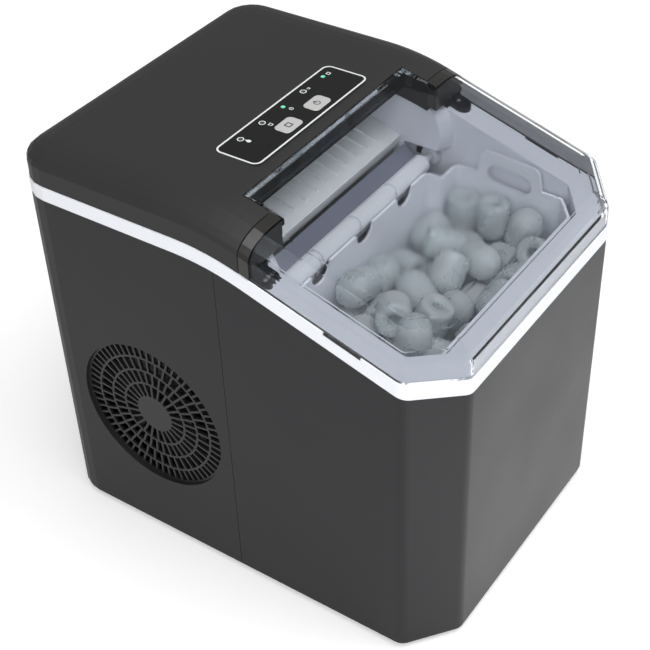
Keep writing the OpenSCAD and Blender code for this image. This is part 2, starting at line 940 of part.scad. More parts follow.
motor_l = 9;
module tray_motor() {
    x2 = -chamber_x - tub_wall;
    color("#e6e6e2")
        difference() {
            block([x2 - motor_l, tray_y - tray_r / 2, tray_z - tray_r], [x2, tray_y + tray_r, tube_z - tube_r - 1]);
            rod_x(x2 - 5, 0, tray_y, tray_z, shaft_r + fit);
        }
}

paddle_gap = 3;
collar_r = 4.5;
paddle_t = 2.4;
paddle_l = 9;
gate_t = 1.8;
gate_r = 16.6;
gate_lean = 30;
module ice_pusher() {
    reach = chamber_x - 3.5;
    pitch = 2 * reach / pusher_n;
    y = pusher_y;
    color("#f4f5f6") {
        translate([-reach, y, pusher_z])
            rotate([gate_lean, 0, 0])
                translate([0, 0, -gate_t / 2])
                    cube([2 * reach, gate_r, gate_t]);
        for (i = [0 : pusher_n - 1]) {
            rod_x(-reach + i * pitch + paddle_gap / 2, -reach + (i + 1) * pitch - paddle_gap / 2, y, pusher_z, pusher_r);
            block([-reach + i * pitch + paddle_gap / 2, y - paddle_t / 2, pusher_z - pusher_r - paddle_l + 4],
                  [-reach + (i + 1) * pitch - paddle_gap / 2, y + paddle_t / 2, pusher_z]);
        }
        rod_x(paddle_gap - reach, reach - paddle_gap, y, pusher_z, collar_r);
        rod_x(-mouth_x - 1, mouth_x + 1, y, pusher_z, pusher_shaft_r);
    }
}

sensor_t = 1.2;
sensor_h = 4;
module ice_sensors() {
    color("#1b1c1f")
        for (side = [-1, 1])
            block([side > 0 ? mouth_x - sensor_t : -mouth_x, pusher_y + boss_r + 1, pusher_z - sensor_h / 2],
                  [side > 0 ? mouth_x : sensor_t - mouth_x, pusher_y + boss_r + 1 + sensor_h, pusher_z + sensor_h / 2]);
}

pump_w = 38;
pump_l = 34;
pump_h = 24;
spout_h = 12;
pump_x = -mouth_x + pump_w + 4;
pump_y = by(tank_back) - pump_l / 2 - 7;
outlet_x = pump_x + pump_w / 4;
outlet_y = pump_y + pump_l / 2 - 5;
module water_pump() {
    color("#2b2d31") {
        block([pump_x - pump_w / 2, pump_y - pump_l / 2, tub_floor],
              [pump_x + pump_w / 2, pump_y + pump_l / 2, tub_floor + pump_h]);
        translate([pump_x, pump_y, tub_floor + pump_h - sliver])
            cylinder(h = 8, r = 12);
        translate([outlet_x, outlet_y, tub_floor + pump_h - sliver])
            cylinder(h = spout_h, r = hose_r);
    }
}

// Round tube swept along a route: rings of points perpendicular to the path.
function tangent(route, i) = unit(route[min(i + 1, len(route) - 1)] - route[max(i - 1, 0)]);
function ring_at(p, t, r, n) =
    let (u = unit(cross(t, abs(t[2]) < 0.9 ? [0, 0, 1] : [0, 1, 0])), v = cross(t, u))
    [for (j = [0 : n - 1]) p + r * (cos(360 * j / n) * u + sin(360 * j / n) * v)];
module tube(route, r, n = 10) {
    last = len(route) - 1;
    points = [for (i = [0 : last]) for (q = ring_at(route[i], tangent(route, i), r, n)) q];
    sides = [for (i = [0 : last - 1]) for (j = [0 : n - 1])
        let (a = i * n + j, b = i * n + (j + 1) % n)
        [a, b, b + n, a + n]];
    polyhedron(points, concat(sides, [[for (j = [n - 1 : -1 : 0]) j]], [[for (j = [0 : n - 1]) last * n + j]]));
}

// Points of a route whose corners are rounded by quadratic blends.
blend_n = 5;
function rounded(route, r) = concat(
    [route[0]],
    [for (i = [1 : len(route) - 2])
        let (a = route[i] + r * unit(route[i - 1] - route[i]), c = route[i] + r * unit(route[i + 1] - route[i]))
        for (k = [0 : blend_n]) let (s = k / blend_n)
            pow(1 - s, 2) * a + 2 * s * (1 - s) * route[i] + pow(s, 2) * c],
    [route[len(route) - 1]]);

hose_r = 3;
module water_hose() {
    x = outlet_x;
    y = outlet_y;
    low = tub_floor + pump_h + spout_h;
    rise = (chamber_floor - low) / 3;
    wall_y = by(tank_back) - hose_r - 1;
    color("#c9d2d8")
        tube(rounded([[x, y, low], [x, y, low + rise], [x, wall_y, low + 2 * rise], [x, wall_y, chamber_floor + 4]], 6), hose_r);
}

module drain_plug() {
    out_x = body_w / 2 - 0.5;
    color("#c7cbd0") {
        rod_x(body_w / 2 - 4 + seat_gap, out_x, drain_y, drain_z, plug_r);
        rod_x(body_w / 2 - 14, body_w / 2 - 4 + seat_gap + sliver, drain_y, drain_z, 4.45);
    }
}

// ---- Refrigeration ----

comp_z = base_z + flange_t + mount_rail_h;
grommet_h = 6;
module compressor() {
    low = comp_z + grommet_h;
    dome = 18;
    color("#1e1f21") {
        translate([comp_x, comp_y, low]) {
            rotate_extrude()
                polygon(concat(
                    [[0, 0], [comp_r - 6, 0], [comp_r, 6]],
                    [for (a = [0 : 15 : 90]) [comp_r - dome + dome * cos(a), comp_h - dome + dome * sin(a)]],
                    [[0, comp_h]]));
            for (a = [45 : 90 : 315])
                rotate(a)
                    translate([comp_r - 8, -7, 0])
                        cube([16, 14, 3]);
        }
    }
}

module compressor_mounts() {
    color("#111213")
        for (p = mount_spots)
            translate([p[0], p[1], comp_z])
                cylinder(h = grommet_h, r = 6);
}

fan_x = -side_x + grille_t + 6;
fan_t = 12;
blade_n = 7;
hub_r = 15;
fan_bore = 2;
module fan() {
    color("#2a2c30")
        translate([fan_x, vent_y, vent_z])
            rotate([0, 90, 0])
                difference() {
                    union() {
                        cylinder(h = fan_t, r = hub_r);
                        for (i = [0 : blade_n - 1])
                            rotate(360 * i / blade_n)
                                translate([hub_r - 2, 0, fan_t / 2])
                                    rotate([32, 0, 0])
                                        translate([0, -9, -0.8])
                                            intersection() {
                                                cube([fan_r - hub_r + 2, 18, 1.6]);
                                                translate([0, 9, -5])
                                                    cylinder(h = 10, r = fan_r - hub_r + 2);
                                            }
                    }
                    translate([0, 0, 3])
                        cylinder(h = fan_t, r = fan_bore + fit);
                }
}

motor_x = fan_x + fan_t + 3;
motor_r = 14;
motor_len = 16;
module fan_motor() {
    color("#8b8f94") {
        rod_x(motor_x, motor_x + motor_len, vent_y, vent_z, motor_r);
        rod_x(fan_x + 4, motor_x + sliver, vent_y, vent_z, fan_bore);
    }
}

shroud_t = 2.5;
shroud_half = fan_r + 5;
shroud_x = motor_x + 4;
spider_r = motor_r + 3;
module shroud_face() {
    difference() {
        union() {
            difference() {
                square(2 * shroud_half, center = true);
                circle(fan_r + 1.5);
            }
            circle(spider_r);
            for (a = [45, 135])
                rotate(a)
                    square([2 * fan_r + 8, 6], center = true);
        }
        circle(motor_r + fit);
    }
}

module fan_shroud() {
    post_h = vent_z - shroud_half - base_z - flange_t + 1;
    color("#323438") {
        along_x(shroud_x, shroud_x + shroud_t)
            translate([vent_y, vent_z])
                shroud_face();
        for (s = [-1, 1])
            translate([shroud_x, vent_y + s * (shroud_half - 4) - 4, base_z + flange_t])
                cube([shroud_t, 8, post_h]);
    }
}

cond_x = motor_x + motor_len + 3;
cond_t = 20;
cond_fin = 0.8;
cond_pitch = 5;
cond_low = vent_z - shroud_half;
cond_high = min(vent_z + shroud_half, chamber_floor - tub_wall - 2);
fin_n = floor((2 * shroud_half - 8) / cond_pitch);
cond_l = fin_n * cond_pitch;
module condenser() {
    rows = 5;
    row_pitch = (cond_high - cond_low - 16) / (rows - 1);
    color("#a9adb1") {
        for (i = [0 : fin_n])
            block([cond_x, vent_y - cond_l / 2 + i * cond_pitch - cond_fin / 2, cond_low],
                  [cond_x + cond_t, vent_y - cond_l / 2 + i * cond_pitch + cond_fin / 2, cond_high]);
        for (k = [0 : rows - 1])
            translate([cond_x + cond_t / 2, vent_y, cond_low + 8 + k * row_pitch])
                rotate([90, 0, 0])
                    cylinder(h = cond_l + 8, r = 3, center = true);
        for (s = [-1, 1])
            block([cond_x + 2, vent_y + s * cond_l / 2 - 1, base_z + flange_t],
                  [cond_x + cond_t - 2, vent_y + s * cond_l / 2 + 1, cond_low + 2]);
    }
}

drier_r = 9;
drier_h = 80;
drier_neck = 8;
drier_x = comp_x - comp_r - drier_r - 5;
drier_y = body_d / 2 - wall - 2 * drier_r - 2;
module filter_drier() {
    color("#b87346")
        translate([drier_x, drier_y, base_z + flange_t])
            rotate_extrude()
                polygon([
                    [0, 0], [pipe_r, 0], [pipe_r, drier_neck], [drier_r, 2 * drier_neck],
                    [drier_r, drier_h - 2.5 * drier_neck], [pipe_r, drier_h - 1.5 * drier_neck],
                    [pipe_r, drier_h], [0, drier_h]]);
}

comp_top = comp_z + grommet_h + comp_h;
module discharge_pipe() {
    x = cond_x + cond_t / 2;
    y = vent_y + cond_l / 2 + 4;
    z = cond_high - 8;
    color("#b87346")
        tube(rounded([[x, y, z], [x, y + 12, z], [comp_x - 18, y + 12, z], [comp_x - 18, comp_y + 12, z],
                      [comp_x - 18, comp_y + 12, comp_top]], 6), pipe_r, 8);
}

module suction_pipe() {
    x = side_x - grille_t - pipe_r - 0.5;
    y = tube_y;
    z = comp_top + 16;
    run = 34;
    color("#b87346")
        tube(rounded([[tube_x, y, tube_z], [x, y, tube_z], [x, y + run, tube_z], [x, y + run, z],
                      [comp_x + 14, y + run, z], [comp_x + 14, comp_y - 10, z], [comp_x + 14, comp_y - 10, comp_top]],
                     4), pipe_r, 8);
}

base_tray();
feet();
front_housing();
rear_housing();
trim_band();
top_cover();
vent_grille_left();
vent_grille_right();
cord_inlet();
liner();
evaporator_hood();
evaporator();
water_tray();
tray_motor();
ice_pusher();
ice_basket();
ice_load();
water_pump();
water_hose();
drain_plug();
ice_sensors();
lid();
hinge_arm_left();
hinge_arm_right();
hinge_pins();
hinge_bracket_left();
hinge_bracket_right();
button_left();
button_right();
lamp_lenses();
control_board();
compressor();
compressor_mounts();
condenser();
fan();
fan_motor();
fan_shroud();
filter_drier();
discharge_pipe();
suction_pipe();
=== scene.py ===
"""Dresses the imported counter-top ice maker: finishes on every part, the ice in the basket,
the printed panel, small fasteners, and the studio it stands in. Metres throughout."""

import json
import math

import bmesh
import bpy
import numpy as np
from bpy.props import FloatProperty, FloatVectorProperty, IntProperty, PointerProperty
from mathutils import Matrix, Vector

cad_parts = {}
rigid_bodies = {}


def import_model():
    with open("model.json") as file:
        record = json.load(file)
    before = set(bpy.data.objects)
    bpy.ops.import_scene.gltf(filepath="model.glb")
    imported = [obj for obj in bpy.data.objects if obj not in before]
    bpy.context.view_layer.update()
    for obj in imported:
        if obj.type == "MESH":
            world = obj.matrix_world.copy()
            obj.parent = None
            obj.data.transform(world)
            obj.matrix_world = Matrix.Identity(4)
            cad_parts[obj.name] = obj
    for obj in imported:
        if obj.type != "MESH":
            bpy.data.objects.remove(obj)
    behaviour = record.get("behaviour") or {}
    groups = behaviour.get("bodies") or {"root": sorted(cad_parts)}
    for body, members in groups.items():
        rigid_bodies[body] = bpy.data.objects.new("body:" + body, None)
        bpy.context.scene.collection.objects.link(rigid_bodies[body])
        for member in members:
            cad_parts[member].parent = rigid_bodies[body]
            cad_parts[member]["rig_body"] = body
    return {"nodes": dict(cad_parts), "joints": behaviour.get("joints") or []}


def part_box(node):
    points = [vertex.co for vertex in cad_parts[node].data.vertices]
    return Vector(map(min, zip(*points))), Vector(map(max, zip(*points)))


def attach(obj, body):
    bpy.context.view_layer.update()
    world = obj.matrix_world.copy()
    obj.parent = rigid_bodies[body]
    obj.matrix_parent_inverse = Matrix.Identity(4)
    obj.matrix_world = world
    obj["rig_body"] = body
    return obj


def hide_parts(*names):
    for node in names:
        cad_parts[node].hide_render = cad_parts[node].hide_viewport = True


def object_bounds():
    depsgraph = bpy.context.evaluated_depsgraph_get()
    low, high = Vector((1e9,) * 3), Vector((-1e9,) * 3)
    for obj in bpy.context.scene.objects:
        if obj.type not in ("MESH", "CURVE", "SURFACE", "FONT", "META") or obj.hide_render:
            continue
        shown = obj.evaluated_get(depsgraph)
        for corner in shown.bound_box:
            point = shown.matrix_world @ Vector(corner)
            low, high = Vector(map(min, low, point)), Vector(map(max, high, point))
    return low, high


bl_info = {
    "name": "Bullet ice maker",
    "version": (1, 0, 0),
    "blender": (4, 5, 0),
    "location": "3D View > Sidebar > Ice maker",
    "description": "Finishes, ice and studio for a counter-top ice maker built round its CAD frame",
    "category": "Object",
}

MM = 0.001

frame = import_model()
CAD_LOW, CAD_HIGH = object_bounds()

# The basket's corners, which the ice keeps clear of
BASKET_CHAMFER = 17 * MM
BASKET_NOTCH = (18 * MM, 12 * MM)
ICE_CLEARANCE = 0.4 * MM

# The finger grips in the top of the band
GRIP_FRONT, GRIP_REAR = -98 * MM, -66 * MM
GRIP_SKIN = 0.25 * MM
GRIP_DEPTH = 2.2 * MM
GRIP_HEIGHT = 1.25 * MM
GRIP_INSET = 0.2 * MM

# The gate plate leans up behind the pusher's bar; from this far out it is painted dark slate blue as painted
# shade
GATE_LEAN = math.radians(30)
GATE_START, GATE_FULL = 5.9 * MM, 6.1 * MM

# The lugs of one hinge bracket share this half width, and hold domed screws
LUG_HALF_WIDTH = 5.8 * MM
SCREW_SEARCH = 2 * MM
SCREW_DOME = [(1.45 * MM, -1.2 * MM), (1.45 * MM, -0.3 * MM), (1.2 * MM, 0.05 * MM),
              (0.6 * MM, 0.25 * MM)]

# The print on the panel
PRINT_SKIN = 0.06 * MM
BELOW_BUTTONS, ABOVE_LAMPS = 9.8 * MM, 6.4 * MM
PANEL_CORNER = 5 * MM
RING_OUTER, RING_INNER = 2.1 * MM, 1.5 * MM
BUTTON_SIGN = 2.2 * MM
LAMP_REACH = 3 * MM

# Where the camera stands, and its azimuth, elevation and roll in degrees
CAMERA_PLACE = (-0.56074, -0.39512, 0.68475)
CAMERA_TURN = (-54.356, 39.324, -2.359)
FLOOR_HALF = 6.0
# The floor's painted reflection lies this way from the machine: a patch that glows only for glossy rays and
# puts a painted sheen on the casing's front
SHEEN_WAY = (0.5, -0.87, 0.0)


# ---------------------------------------------------------------- sizes and colours


def colour_property(name, description, default):
    return FloatVectorProperty(name=name, description=description, default=default,
                               subtype="COLOR", size=3, min=0.0, max=1.0)


def length_property(name, description, default):
    return FloatProperty(name=name, description=description, default=default,
                         unit="LENGTH", subtype="DISTANCE", min=0.0)


class CasingLook(bpy.types.PropertyGroup):
    """Colours and grain of the moulded casing."""

    shell: colour_property("Casing", "Charcoal of the side walls", (0.017, 0.017, 0.019))
    cover: colour_property("Cover", "Charcoal of the top cover", (0.026, 0.026, 0.026))
    band: colour_property("Band", "White of the trim band", (0.86, 0.88, 0.92))
    gloss_black: colour_property("Hinge black", "Black of the hinge ears", (0.020, 0.019, 0.018))
    grain: length_property("Grain", "Size of one cell of the moulded grain", 0.45 * MM)


class LidLook(bpy.types.PropertyGroup):
    """Tint and gloss of the clear lid, and the painted shade on its walls seen through another wall or at a
    glance.
    """

    tint: colour_property("Tint", "Smoke tint of one wall of the lid", (0.90, 0.92, 0.94))
    # Painted shade: these two near-black tints darken a lid wall seen through another wall and a wall met at
    # a glance, standing for the dark reflections on the lid's rolled edges and skirts.
    far_wall_painted_shade: colour_property("Far wall shade", "Tint of a wall seen through another", (0.10, 0.105, 0.115))
    glance_painted_shade: colour_property("Glance shade", "Tint of a wall seen at a glance", (0.05, 0.053, 0.058))
    roughness: FloatProperty(name="Roughness", description="Roughness of the clear lid",
                             default=0.03, min=0.0, max=1.0, subtype="FACTOR")
    fog: FloatProperty(name="Fog", description="Roughness that the cold ice's fog adds", default=0.12,
                       min=0.0, max=1.0, subtype="FACTOR")


class ChamberLook(bpy.types.PropertyGroup):
    """Colours of the tub, the basket and the freezing chamber, with painted shade on the gate plate."""

    liner: colour_property("Liner", "Grey-white of the tub", (0.74, 0.76, 0.83))
    basket: colour_property("Basket", "Milky white of the ice basket", (0.80, 0.82, 0.88))
    hood: colour_property("Hood", "Grey-white of the evaporator hood", (0.95, 0.96, 0.98))
    paddle: colour_property("Paddles", "White of the paddle heads", (0.84, 0.86, 0.90))
    # Painted shade: the gate plate gets this dark slate blue for the shade it lies in behind the bar, under
    # the hood's lip
    gate: colour_property("Gate shade", "Slate blue of the gate plate", (0.20, 0.21, 0.27))


class IceLook(bpy.types.PropertyGroup):
    """The bullets of ice in the basket."""

    count: IntProperty(name="Bullets", description="Number of ice bullets dropped in",
                       default=156, min=1, max=220)
    radius: length_property("Radius", "Radius of one bullet", 10.8 * MM)
    length: length_property("Length", "Length of one bullet", 27.5 * MM)
    hollow: length_property("Hollow", "Radius of the hollow that the finger leaves", 3.9 * MM)
    heap: length_property("Heap", "Most that a bullet rises above the plain ice solid", 8.0 * MM)
    seed: IntProperty(name="Seed", description="Picks another heap", default=5, min=0)


class PanelLook(bpy.types.PropertyGroup):
    """Print and lamps of the control panel."""

    ink: colour_property("Ink", "White of the print", (0.78, 0.80, 0.80))
    lit: colour_property("Lit lamp", "Mint green of a lit lamp", (0.20, 0.95, 0.60))
    film: colour_property("Film", "Black of the film inside the outline", (0.010, 0.011, 0.010))
    silver: colour_property("Buttons", "Silver of the two buttons", (0.68, 0.69, 0.68))
    half_width: length_property("Half width", "Half the width of the outline", 56.0 * MM)
    line: length_property("Line", "Width of the outline's line", 1.1 * MM)


class StudioLook(bpy.types.PropertyGroup):
    """Floor, lamps and camera, and the painted sheen that the floor shows only in reflections."""

    floor: colour_property("Floor", "Plain pale floor", (0.86, 0.86, 0.86))
    key: FloatProperty(name="Key lamp", description="Power of the key lamp", default=8.8,
                       min=0.0, unit="POWER")
    top: FloatProperty(name="Top lamp", description="Power of the top lamp", default=19.0,
                       min=0.0, unit="POWER")
    fill: FloatProperty(name="Fill lamp", description="Power of the fill lamp", default=6.5,
                        min=0.0, unit="POWER")
    sky: FloatProperty(name="Sky", description="Strength of the even light", default=0.35,
                       min=0.0)
    # Painted reflection: strength of the floor patch that glows only in reflections, for the sheen on the
    # casing's front
    painted_sheen: FloatProperty(name="Painted sheen", description="Extra light that the floor in front mirrors",
                        default=0.62, min=0.0)
    lens: FloatProperty(name="Lens", description="Focal length in millimetres on a 36 mm sensor",
                        default=77.875, min=1.0)


# ---------------------------------------------------------------- node kit


class Nodes:
    """Adds nodes to one tree and wires them as it goes."""

    def __init__(self, tree):
        self.tree = tree

    def add(self, kind, sockets=None, **settings):
        node = self.tree.nodes.new("ShaderNode" + kind)
        for name, value in settings.items():
            setattr(node, name, value)
        for key, value in (sockets or {}).items():
            self.plug(node, key, value)
        return node

    def plug(self, node, key, value):
        socket = node.inputs[key]
        if isinstance(value, bpy.types.NodeSocket):
            self.tree.links.new(value, socket)
        elif socket.type == "RGBA" and len(value) == 3:
            socket.default_value = (*value, 1.0)
        else:
            socket.default_value = value

    def math(self, operation, a, b=0.0, clamp=False):
        node = self.add("Math", {0: a, 1: b}, operation=operation, use_clamp=clamp)
        return node.outputs[0]

    def blend(self, factor, a, b, mode="MIX"):
        node = self.add("Mix", data_type="RGBA", blend_type=mode)
        for key, value in ((0, factor), (6, a), (7, b)):
            self.plug(node, key, value)
        return node.outputs[2]

    def remap(self, value, low, high, to_low, to_high):
        node = self.add("MapRange", {0: value, 1: low, 2: high, 3: to_low, 4: to_high})
        return node.outputs[0]

    def noise(self, vector, scale, detail=2.0, roughness=0.5):
        node = self.add("TexNoise", {"Vector": vector, "Scale": scale, "Detail": detail,
                                     "Roughness": roughness})
        return node.outputs["Fac"]


def effect(name, inputs, outputs):
    """A new shader node group: inputs are (label, kind, default) and outputs (label, kind)."""
    tree = bpy.data.node_groups.new(name, "ShaderNodeTree")
    for label, kind, default in inputs:
        socket = tree.interface.new_socket(label, in_out="INPUT", socket_type="NodeSocket" + kind)
        if default is not None:
            socket.default_value = default
    for label, kind in outputs:
        tree.interface.new_socket(label, in_out="OUTPUT", socket_type="NodeSocket" + kind)
    kit = Nodes(tree)
    entry = tree.nodes.new("NodeGroupInput")
    leave = tree.nodes.new("NodeGroupOutput")
    return kit, entry.outputs, leave


def moulded_grain():
    """Spark-eroded grain of a moulded plastic face, with a slow drift in its colour."""
    kit, given, leave = effect(
        "Moulded grain",
        [("Colour", "Color", (0.5, 0.5, 0.5, 1)), ("Cell", "Float", 0.0005),
         ("Roughness", "Float", 0.5), ("Drift", "Float", 0.1)],
        [("Colour", "Color"), ("Roughness", "Float"), ("Height", "Float")])
    place = kit.add("TexCoord").outputs["Object"]
    scale = kit.math("DIVIDE", 1.0, given["Cell"])
    cells = kit.add("TexVoronoi", {"Vector": place, "Scale": scale, "Randomness": 1.0},
                    feature="SMOOTH_F1").outputs["Distance"]
    fine = kit.noise(place, kit.math("MULTIPLY", scale, 0.6), 3.0)
    slow = kit.noise(place, 14.0, 3.0)
    height = kit.math("ADD", kit.math("MULTIPLY", cells, 0.7), kit.math("MULTIPLY", fine, 0.5))
    speck = kit.remap(fine, 0.3, 0.7, -0.5, 0.5)
    shift = kit.math("ADD", kit.remap(slow, 0.3, 0.7, -0.5, 0.5), kit.math("MULTIPLY", speck, 0.7))
    factor = kit.math("ADD", 1.0, kit.math("MULTIPLY", shift, given["Drift"]))
    tint = kit.add("CombineColor", {0: factor, 1: factor, 2: factor}).outputs[0]
    kit.plug(leave, "Colour", kit.blend(1.0, given["Colour"], tint, "MULTIPLY"))
    rough = kit.math("ADD", given["Roughness"], kit.math("MULTIPLY", shift, 0.06))
    kit.plug(leave, "Roughness", rough)
    kit.plug(leave, "Height", height)
    return kit.tree


def handling_marks():
    """Faint smears and rubbed patches that change the gloss of a face."""
    kit, given, leave = effect(
        "Handling marks",
        [("Roughness", "Float", 0.3), ("Amount", "Float", 0.1), ("Size", "Float", 0.03)],
        [("Roughness", "Float"), ("Mask", "Float")])
    place = kit.add("TexCoord").outputs["Object"]
    scale = kit.math("DIVIDE", 1.0, given["Size"])
    patches = kit.noise(place, scale, 5.0, 0.6)
    mask = kit.remap(patches, 0.45, 0.75, 0.0, 1.0)
    kit.plug(leave, "Mask", mask)
    kit.plug(leave, "Roughness",
             kit.math("ADD", given["Roughness"], kit.math("MULTIPLY", mask, given["Amount"])))
    return kit.tree


def fine_lines():
    """Straight brushed or drawn lines along one axis of the object."""
    kit, given, leave = effect(
        "Fine lines",
        [("Colour", "Color", (0.5, 0.5, 0.5, 1)), ("Stretch", "Vector", (1.0, 40.0, 40.0)),
         ("Scale", "Float", 100.0), ("Depth", "Float", 0.2)],
        [("Colour", "Color"), ("Roughness", "Float"), ("Height", "Float")])
    place = kit.add("TexCoord").outputs["Object"]
    pulled = kit.add("VectorMath", {0: place, 1: given["Stretch"]}, operation="MULTIPLY")
    lines = kit.noise(pulled.outputs[0], given["Scale"], 4.0, 0.6)
    shade = kit.math("ADD", 1.0, kit.math("MULTIPLY", kit.remap(lines, 0.3, 0.7, -0.5, 0.5),
                                          given["Depth"]))
    tint = kit.add("CombineColor", {0: shade, 1: shade, 2: shade}).outputs[0]
    kit.plug(leave, "Colour", kit.blend(1.0, given["Colour"], tint, "MULTIPLY"))
    kit.plug(leave, "Roughness", kit.remap(lines, 0.3, 0.7, 0.22, 0.42))
    kit.plug(leave, "Height", lines)
    return kit.tree


def soft_edges():
    """Rounds the light over hard moulded edges."""
    kit, given, leave = effect("Soft edges", [("Radius", "Float", 0.0006)], [("Normal", "Vector")])
    bevel = kit.add("Bevel", {"Radius": given["Radius"]}, samples=4)
    kit.plug(leave, "Normal", bevel.outputs[0])
    return kit.tree


EFFECTS = {}


def build_effects():
    for make in (moulded_grain, handling_marks, fine_lines, soft_edges):
        tree = make()
        EFFECTS[tree.name] = tree


class Finish:
    """One material: a Principled shader and the effects that feed it."""

    def __init__(self, name, **shader):
        self.material = bpy.data.materials.new(name)
        self.material.use_nodes = True
        self.kit = Nodes(self.material.node_tree)
        self.shader = self.material.node_tree.nodes["Principled BSDF"]
        for key, value in shader.items():
            self.set(key.replace("_", " ").title().replace("Ior", "IOR"), value)

    def set(self, key, value):
        self.kit.plug(self.shader, key, value)
        return self

    def effect(self, name, **sockets):
        node = self.kit.add("Group")
        node.node_tree = EFFECTS[name]
        for key, value in sockets.items():
            self.kit.plug(node, key, value)
        return node.outputs

    def let_lamps_through(self, tint):
        """Lamps reach what is behind the clear part, dimmed by its tint."""
        rays = self.kit.add("LightPath")
        clear = self.kit.add("BsdfTransparent", {"Color": tint})
        mix = self.kit.add("MixShader", {0: rays.outputs["Is Shadow Ray"],
                                         1: self.shader.outputs[0], 2: clear.outputs[0]})
        output = self.material.node_tree.nodes["Material Output"]
        self.kit.plug(output, "Surface", mix.outputs[0])
        return self

    def bump(self, height, distance, strength=1.0, normal=None):
        sockets = {"Height": height, "Distance": distance, "Strength": strength}
        if normal is not None:
            sockets["Normal"] = normal
        self.set("Normal", self.kit.add("Bump", sockets).outputs[0])
        return self


def plastic(name, colour, roughness, cell=0.0005, drift=0.1, depth=0.02 * MM, edge=0.5 * MM, **more):
    """Moulded plastic with its grain, soft edges and a drift in colour."""
    finish = Finish(name, **more)
    grain = finish.effect("Moulded grain", Colour=colour, Cell=cell, Roughness=roughness, Drift=drift)
    finish.set("Base Color", grain["Colour"]).set("Roughness", grain["Roughness"])
    edges = finish.effect("Soft edges", Radius=edge)
    finish.bump(grain["Height"], depth, 0.6, edges["Normal"])
    return finish.material


def metal(name, colour, stretch=(1.0, 1.0, 40.0), scale=60.0, depth=0.2):
    """Drawn or brushed metal."""
    finish = Finish(name, metallic=1.0)
    lines = finish.effect("Fine lines", Colour=colour, Stretch=stretch, Scale=scale, Depth=depth)
    finish.set("Base Color", lines["Colour"]).set("Roughness", lines["Roughness"])
    finish.bump(lines["Height"], 0.02 * MM, 0.5)
    return finish.material


def dress(nodes, material):
    """Gives every slot of the named CAD nodes one material."""
    for name in nodes:
        node = frame["nodes"][name]
        node.data.materials.clear()
        node.data.materials.append(material)


# ---------------------------------------------------------------- mesh kit


def make_piece(name, body, material, fill):
    """A new mesh object filled by fill(bmesh), riding on a CAD body."""
    mesh = bpy.data.meshes.new(name)
    work = bmesh.new()
    fill(work)
    bmesh.ops.recalc_face_normals(work, faces=work.faces)
    work.to_mesh(mesh)
    work.free()
    mesh.materials.append(material)
    piece = bpy.data.objects.new(name, mesh)
    bpy.context.scene.collection.objects.link(piece)
    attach(piece, body)
    return piece


def islands(node):
    """Boxes of a CAD node's separate solids, in order of X."""
    mesh = frame["nodes"][node].data
    work = bmesh.new()
    work.from_mesh(mesh)
    bmesh.ops.remove_doubles(work, verts=work.verts, dist=1e-6)
    left = set(work.verts)
    found = []
    while left:
        stack = [left.pop()]
        points = []
        while stack:
            vert = stack.pop()
            points.append(vert.co.copy())
            for edge in vert.link_edges:
                other = edge.other_vert(vert)
                if other in left:
                    left.remove(other)
                    stack.append(other)
        cloud = np.array(points)
        found.append((Vector(cloud.min(0)), Vector(cloud.max(0))))
    work.free()
    return sorted(found, key=lambda box: box[0].x)


def lathe(work, profile, sides, place=Matrix.Identity(4)):
    """Turns (radius, height) points round local Z, closed at both ends."""
    rings = []
    for radius, height in profile:
        rings.append([work.verts.new(place @ Vector((radius * math.cos(a), radius * math.sin(a), height)))
                      for a in (2 * math.pi * i / sides for i in range(sides))])
    for low, high in zip(rings, rings[1:]):
        for i in range(sides):
            work.faces.new((low[i], low[(i + 1) % sides], high[(i + 1) % sides], high[i]))
    work.faces.new(rings[0][::-1])
    work.faces.new(rings[-1])


def plate(work, outline, low, high, hole=None):
    """A flat plate between two heights over a closed outline, with an optional hole like it."""
    if hole is None:
        bottom = [work.verts.new((x, y, low)) for x, y in outline]
        top = [work.verts.new((x, y, high)) for x, y in outline]
        work.faces.new(bottom[::-1])
        work.faces.new(top)
        for i in range(len(outline)):
            j = (i + 1) % len(outline)
            work.faces.new((bottom[i], bottom[j], top[j], top[i]))
        return
    loops = []
    for points, height in ((outline, low), (outline, high), (hole, high), (hole, low)):
        loops.append([work.verts.new((x, y, height)) for x, y in points])
    for a, b in zip(loops, loops[1:] + loops[:1]):
        for i in range(len(outline)):
            j = (i + 1) % len(outline)
            work.faces.new((a[i], a[j], b[j], b[i]))


def round_rect(x0, y0, x1, y1, radius, steps=8):
    points = []
    for cx, cy, start in ((x1 - radius, y1 - radius, 0), (x0 + radius, y1 - radius, 90),
                          (x0 + radius, y0 + radius, 180), (x1 - radius, y0 + radius, 270)):
        for i in range(steps + 1):
            a = math.radians(start + 90 * i / steps)
            points.append((cx + radius * math.cos(a), cy + radius * math.sin(a)))
    return points


def ring_points(cx, cy, radius, steps=32):
    return [(cx + radius * math.cos(2 * math.pi * i / steps),
             cy + radius * math.sin(2 * math.pi * i / steps)) for i in range(steps)]


def drop_sign(x, y, size):
    """A water drop."""
    round_part = [(x + size * math.cos(a), y + size * math.sin(a))
                  for a in (math.radians(d) for d in range(-210, 31, 20))]
    return [(round_part + [(x, y + 2.1 * size)], None)]


def bin_sign(x, y, size):
    """A bin, narrower at its foot."""
    def corners(s):
        return [(x - s, y + s), (x - 0.7 * s, y - s), (x + 0.7 * s, y - s), (x + s, y + s)]
    return [(corners(size), corners(0.62 * size))]


def power_sign(x, y, size):
    """A ring with a bar at its top."""
    bar = 0.16 * size
    post = [(x - bar, y), (x + bar, y), (x + bar, y + 1.35 * size), (x - bar, y + 1.35 * size)]
    return [(ring_points(x, y, size, 24), ring_points(x, y, 0.7 * size, 24)), (post, None)]


def cube_sign(x, y, size):
    """One cube of ice seen from above."""
    inner = 0.6 * size
    return [(round_rect(x - size, y - size, x + size, y + size, 0.3 * size, 4),
             round_rect(x - inner, y - inner, x + inner, y + inner, 0.15 * size, 4))]


# ---------------------------------------------------------------- the pieces


